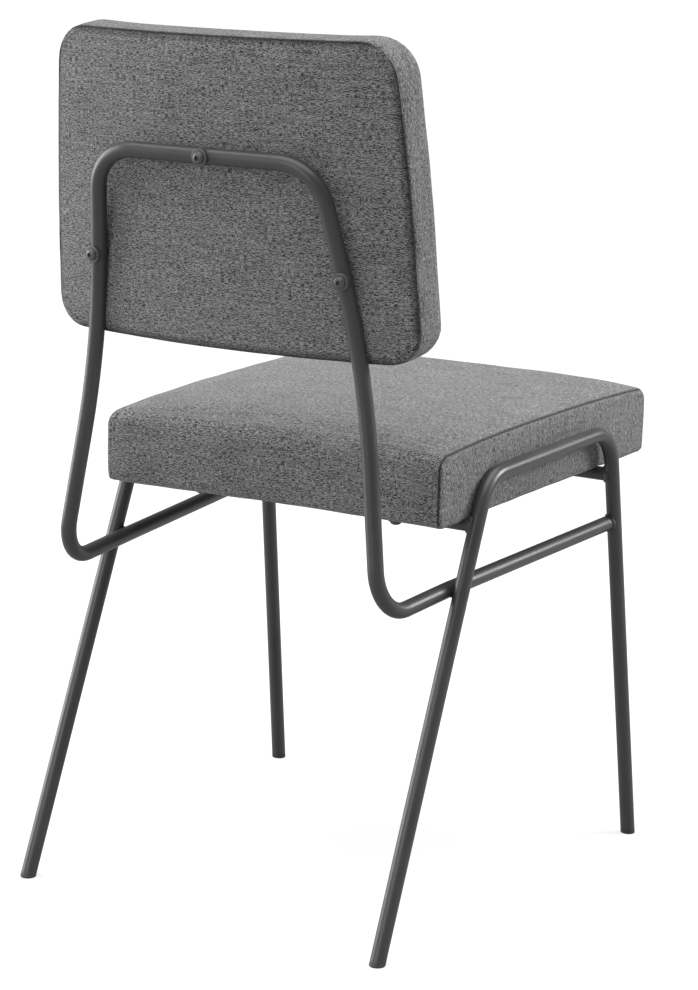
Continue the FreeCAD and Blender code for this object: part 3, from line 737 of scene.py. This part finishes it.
bm = bmesh.new()
bmesh.ops.create_cube(bm, size=1.0)
bmesh.ops.scale(bm, vec=(2 * PAD_LOW_HALF, PAD_THICK, PAD_HIGH - PAD_LOW), verts=bm.verts)
bmesh.ops.translate(bm, vec=(0.0, -PAD_THICK / 2, (PAD_HIGH + PAD_LOW) / 2), verts=bm.verts)
through = edges_where(bm, lambda a, b: abs(a.y - b.y) > 0.01)
for radius, high in ((PAD_HIGH_CORNER, True), (PAD_LOW_CORNER, False)):
    chosen = [e for e in through if e.is_valid and (e.verts[0].co.z > 0) == high]
    bmesh.ops.bevel(bm, geom=chosen, offset=radius, offset_type="OFFSET", segments=7,
                    profile=0.5, affect="EDGES", material=-1)
front_rim = [e for e in bm.edges if all(v.co.y < -PAD_THICK / 2 for v in e.verts)]
bmesh.ops.bevel(bm, geom=front_rim, offset=PAD_FRONT_ROLL, offset_type="OFFSET", segments=4,
                profile=0.5, affect="EDGES", material=-1)
bm.normal_update()
panels = [f for f in bm.faces if f.normal.y > 0.9]
bmesh.ops.inset_individual(bm, faces=panels, thickness=SEAM_ALLOWANCE, use_even_offset=True)
ridges = [e for e in bm.edges if len([f for f in e.link_faces if f in panels]) == 1]
for edge in ridges:
    edge.smooth = False
for edge in bm.edges:
    if len(edge.link_faces) == 2:
        flat = [f.normal.y > 0.9 for f in edge.link_faces]
        if flat[0] != flat[1]:
            edge.seam = True
cut_grid(bm, 0, -PAD_LOW_HALF, PAD_LOW_HALF)
cut_grid(bm, 2, PAD_LOW, PAD_HIGH)
cut_grid(bm, 1, -PAD_THICK, 0.0)
bm.normal_update()


def pad_weave(normal):
    """The weft runs across the panels and along the boxing strip, which is cut from another place."""
    if abs(normal.y) > 0.7:
        return 0, 2, 0.0
    return (0, 1, 0.53) if abs(normal.z) > abs(normal.x) else (2, 1, 0.53)


lay_out_cloth(bm, pad_weave)
print("backrest grid:", len(bm.faces), "faces")

# %% Backrest cushion: taper, bow and lean
def pad_half(height):
    """Half width at a height: a gentle arc through the bottom, middle and top widths."""
    middle = (PAD_LOW + PAD_HIGH) / 2
    t = (height - middle) / (PAD_HIGH - middle)
    slope = (PAD_HIGH_HALF - PAD_LOW_HALF) / 2
    swell = PAD_MID_HALF - (PAD_HIGH_HALF + PAD_LOW_HALF) / 2
    return PAD_MID_HALF + slope * t - swell * t * t


for vertex in bm.verts:
    vertex.co.x *= pad_half(vertex.co.z) / PAD_LOW_HALF
    depth = -vertex.co.y
    vertex.co.y = math.sqrt((PAD_CURVE - depth) ** 2 - vertex.co.x ** 2) - PAD_CURVE
bmesh.ops.transform(bm, matrix=PAD_PLACE, verts=bm.verts)
bm.normal_update()
back = new_piece("backrest_cushion", bm, cover_finish)
inflate(back, seam_points(back), pressure=20.0, cap=0.0045)
back_metal = tree_of(("back_frame", "backrest_spacers", "backrest_bolt_washers"))
sew_piece(back, 0.0065, 0.0017, ridge_depth=0.0003)
pucker(back.data, 24.0, 0.0006, Vector((9.2, 5.5, 1.3)))
subdivide_once(back)
print("clear of the tube:", keep_clear(back.data, back_metal, 0.0006), "vertices moved")
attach(back, "root")
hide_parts("backrest_cover", "backrest_wadding", "backrest_foam")
print("backrest cushion:", len(back.data.polygons), "faces")

# %% [markdown]
# ## The dust cloth
# A thin black cloth closes the seat from below and hides the board. It is a single sheet,
# stretched over the underside, and it puckers slightly along its edge.

# %% Dust cloth
low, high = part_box("seat_dust_cover")
HEM = 0.0345
HEM_PUCKER = 0.0007
CLOTH_BELOW, CLOTH_THICK = 0.0009, 0.0005
bm = bmesh.new()
bmesh.ops.create_grid(bm, x_segments=56, y_segments=62, size=0.5)
rear, front = SEAT_REAR - HEM, SEAT_FRONT + HEM
for vertex in bm.verts:
    share = 0.5 - vertex.co.y
    half = (SEAT_REAR_HALF - HEM) + (SEAT_FRONT_HALF - SEAT_REAR_HALF) * share
    across_share = vertex.co.x * 2
    vertex.co.y = rear + (front - rear) * share
    vertex.co.x = across_share * half
    edge_near = max(abs(across_share), abs(share * 2 - 1))
    ripple = noise.noise(Vector((vertex.co.x * 46, vertex.co.y * 46, 2.0))) * HEM_PUCKER * edge_near ** 6
    vertex.co.z = ripple - CLOTH_BELOW
bmesh.ops.solidify(bm, geom=bm.faces[:], thickness=CLOTH_THICK)
bmesh.ops.transform(bm, matrix=SEAT_PLACE, verts=bm.verts)
bmesh.ops.recalc_face_normals(bm, faces=bm.faces)
dust = new_piece("seat_dust_cloth", bm, dust_finish)
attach(dust, "root")
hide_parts("seat_dust_cover")

# %% [markdown]
# ## Floor and light
# A pale floor and a white surround give soft light from everywhere. A very broad sun
# stands over the chair, and square soft lights stand to its left, to its front and right,
# and behind it. A real white sweep is lit until it shows no edge. Here the floor and the
# surround do that with a plain glow that only the camera sees, so they don't flood the
# chair with light.

# %% Floor
FLOOR_HALF = 300.0
FLOOR_GLOW = 0.62
bm = bmesh.new()
bmesh.ops.create_grid(bm, x_segments=1, y_segments=1, size=FLOOR_HALF)
floor_mesh = bpy.data.meshes.new("floor")
bm.to_mesh(floor_mesh)
bm.free()
floor = bpy.data.objects.new("floor", floor_mesh)
bpy.context.scene.collection.objects.link(floor)
pale = Recipe("pale floor")
pale_noise = pale.noise(pale.place((1.0, 1.0, 1.0)), 3.0, 3.0)
floor_mesh.materials.append(pale.finish(
    Base_Color=pale.blend(pale_noise, grey(0.29), grey(0.31)), Roughness=0.8, Specular_IOR_Level=0.0))
seen = pale.add("ShaderNodeLightPath")
glow = pale.maths("MULTIPLY", seen.outputs["Is Camera Ray"], FLOOR_GLOW)
shine = pale.add("ShaderNodeEmission", {"Strength": glow})
both = pale.add("ShaderNodeAddShader", {0: pale.surface.outputs[0], 1: shine.outputs[0]})
pale.tree.links.new(both.outputs[0], pale.tree.nodes["Material Output"].inputs["Surface"])
print("floor", 2 * FLOOR_HALF, "m wide")

# %% Light from the surround
BACKDROP_GLOW = 1.05
SURROUND_LIGHT = 0.36
world = bpy.data.worlds.new("studio")
world.use_nodes = True
bpy.context.scene.world = world
sky = world.node_tree
backdrop = sky.nodes["Background"]
backdrop.inputs["Color"].default_value = (1.0, 1.0, 1.0, 1.0)
backdrop.inputs["Strength"].default_value = BACKDROP_GLOW
dim = sky.nodes.new("ShaderNodeBackground")
dim.inputs["Strength"].default_value = SURROUND_LIGHT
seen = sky.nodes.new("ShaderNodeLightPath")
either = sky.nodes.new("ShaderNodeMixShader")
sky.links.new(seen.outputs["Is Camera Ray"], either.inputs[0])
sky.links.new(dim.outputs[0], either.inputs[1])
sky.links.new(backdrop.outputs[0], either.inputs[2])
sky.links.new(either.outputs[0], sky.nodes["World Output"].inputs["Surface"])
print("surround lights the chair at", SURROUND_LIGHT)


# %% Lamps
def soft_light(name, place, aim, side, power):
    """A square area light at a place, turned to an aim point."""
    data = bpy.data.lights.new(name, "AREA")
    data.shape = "SQUARE"
    data.size = side
    data.energy = power
    lamp = bpy.data.objects.new(name, data)
    lamp.location = place
    lamp.rotation_euler = (Vector(aim) - Vector(place)).to_track_quat("-Z", "Y").to_euler()
    bpy.context.scene.collection.objects.link(lamp)


sun_data = bpy.data.lights.new("overhead", "SUN")
sun_data.energy = 3.75
sun_data.angle = math.radians(75.0)
sun = bpy.data.objects.new("overhead", sun_data)
sun.rotation_euler = (math.radians(-6.0), math.radians(3.0), 0.0)
bpy.context.scene.collection.objects.link(sun)
CHAIR_MIDDLE = (0.0, 0.0, 0.5)
BACKREST = (0.0, 0.2, 0.65)
soft_light("left_side", (2.9, 0.8, 1.0), CHAIR_MIDDLE, side=2.2, power=95.0)
soft_light("front_right", (-2.4, -2.0, 1.9), CHAIR_MIDDLE, side=1.3, power=108.0)
soft_light("behind", (0.6, 3.4, 1.5), BACKREST, side=1.8, power=32.0)

settings = bpy.context.scene.view_settings
settings.view_transform = "Standard"
settings.look = "None"
settings.exposure = 0.0
settings.gamma = 1.0
